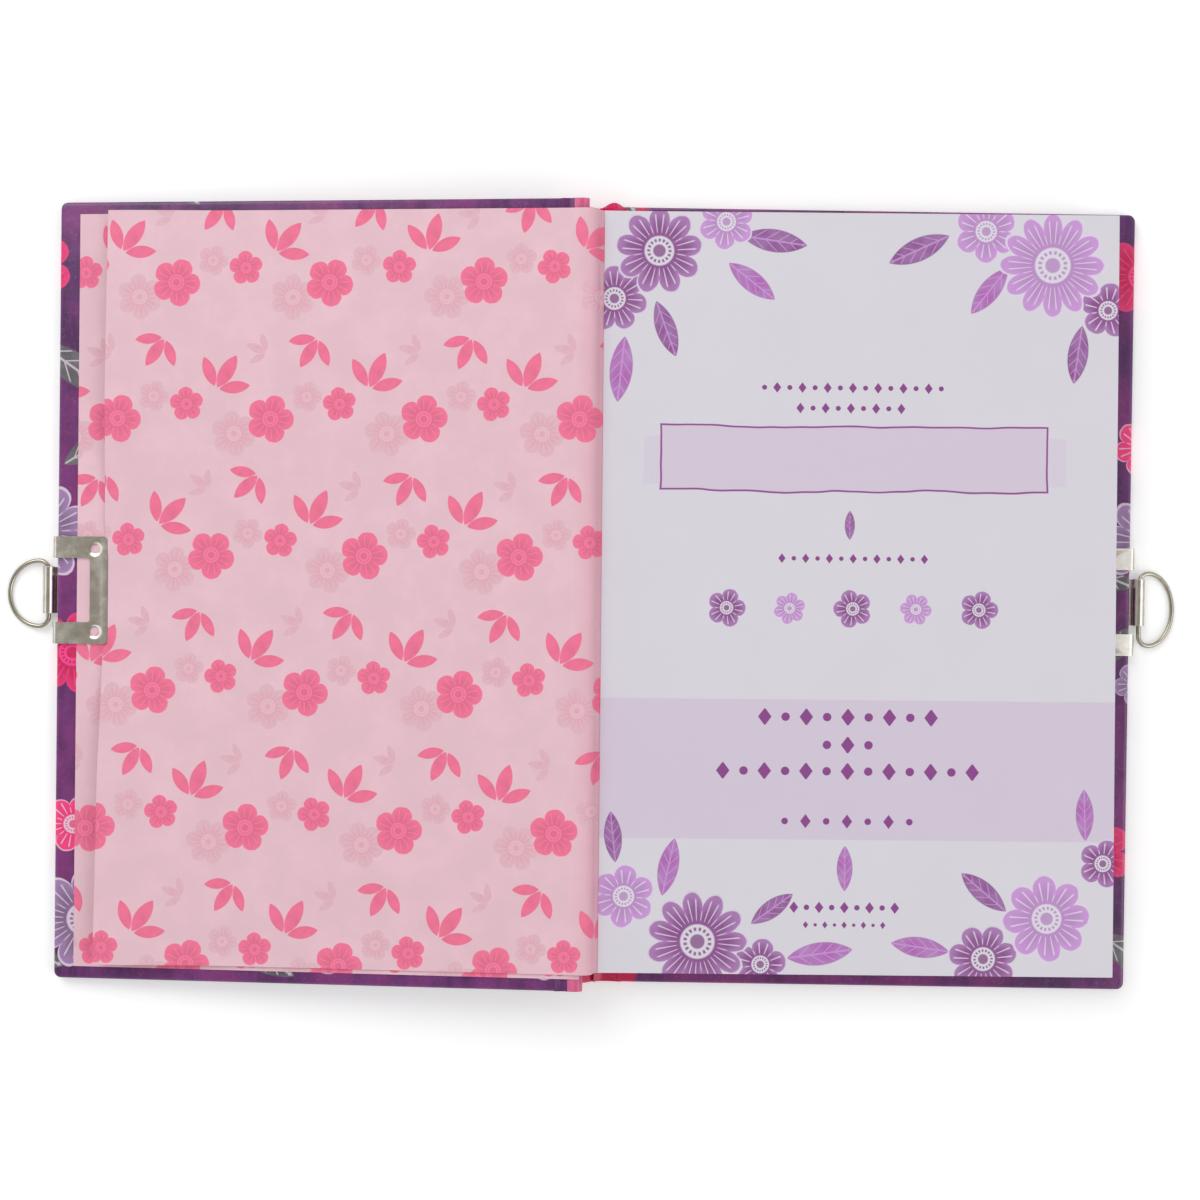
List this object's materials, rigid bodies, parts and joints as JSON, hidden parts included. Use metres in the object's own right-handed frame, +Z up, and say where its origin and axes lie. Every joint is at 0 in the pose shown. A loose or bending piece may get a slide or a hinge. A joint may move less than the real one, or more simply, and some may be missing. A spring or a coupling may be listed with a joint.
{
  "type": "lockable diary",
  "caption": "Hard-cover diary lying open at its title page, with a folded metal lock plate and a swivelling D-ring on the fore-edge of each cover.",
  "frame": {"origin": "centre of the overall box of the open book, on the table it lies on", "axes": "+X across the open book towards the pages' fore-edge, +Y towards the head of the pages, +Z up"},
  "size_m": [0.3216, 0.2136, 0.0195],
  "materials": {
    "grey_board": "raw grey board",
    "cover_print": "printed paper, film-laminated",
    "spine_print": "printed paper, film-laminated",
    "pink_paper": "matt uncoated paper",
    "page_stock": "matt uncoated paper",
    "gauze": "starched book gauze",
    "band_cloth": "woven band",
    "nickel": "nickel-plated, worn"
  },
  "bodies": {
    "back_half": {"back_board": "grey_board", "back_cover_paper": "cover_print", "back_pastedown": "pink_paper", "back_lock_plate": "nickel", "back_flyleaf": "pink_paper", "page_section_1": "page_stock", "page_section_2": "page_stock", "page_section_3": "page_stock", "page_section_4": "page_stock", "page_section_5": "page_stock", "page_section_6": "page_stock", "page_section_7": "page_stock", "page_section_8": "page_stock", "spine_lining": "gauze", "head_band": "band_cloth", "tail_band": "band_cloth", "front_endpaper_fold": "pink_paper", "head_cap": "spine_print"},
    "front_cover": {"front_board": "grey_board", "front_cover_paper": "cover_print", "front_pastedown": "pink_paper", "front_lock_plate": "nickel"},
    "front_flyleaf_body": {"front_flyleaf": "pink_paper"},
    "title_leaf_body": {"title_leaf": "page_stock"},
    "spine": {"spine_board": "grey_board", "spine_cover_paper": "spine_print"},
    "front_ring": {"front_d_ring": "nickel"},
    "back_ring": {"back_d_ring": "nickel"}
  },
  "joints": [
    {"name": "front_cover_hinge", "type": "hinge", "parent": "back_half", "child": "front_cover", "pos_m": [0.00042, 0.00014, 0.01695], "axis": [0, 1, 0], "range_deg": [0, 185.72], "deforming": ["front_endpaper_fold"]},
    {"name": "spine_lean", "type": "hinge", "parent": "back_half", "child": "spine", "pos_m": [0.00192, 0.00014, 0.0027], "axis": [0, 1, 0], "range_deg": [0, 28]},
    {"name": "title_leaf_turn", "type": "hinge", "parent": "back_half", "child": "title_leaf_body", "pos_m": [0.00042, 0.00104, 0.0172], "axis": [0, 1, 0], "range_deg": [-179.5, 0]},
    {"name": "front_flyleaf_lift", "type": "hinge", "parent": "front_cover", "child": "front_flyleaf_body", "pos_m": [-0.00475, 0.00014, 0.01839], "axis": [0, -1, 0], "range_deg": [-5, 0]},
    {"name": "front_ring_swivel", "type": "hinge", "parent": "front_cover", "child": "front_ring", "pos_m": [-0.1492, -0.00086, 0.0017], "axis": [0, 1, 0], "range_deg": [0, 95]},
    {"name": "back_ring_swivel", "type": "hinge", "parent": "back_half", "child": "back_ring", "pos_m": [0.15081, -0.00247, 0.0017], "axis": [-0.0061, -1, 0], "range_deg": [0, 75]}
  ],
  "couplings": [
    {"joint": "spine_lean", "follows": "front_cover_hinge", "ratio": 0.15075}
  ]
}
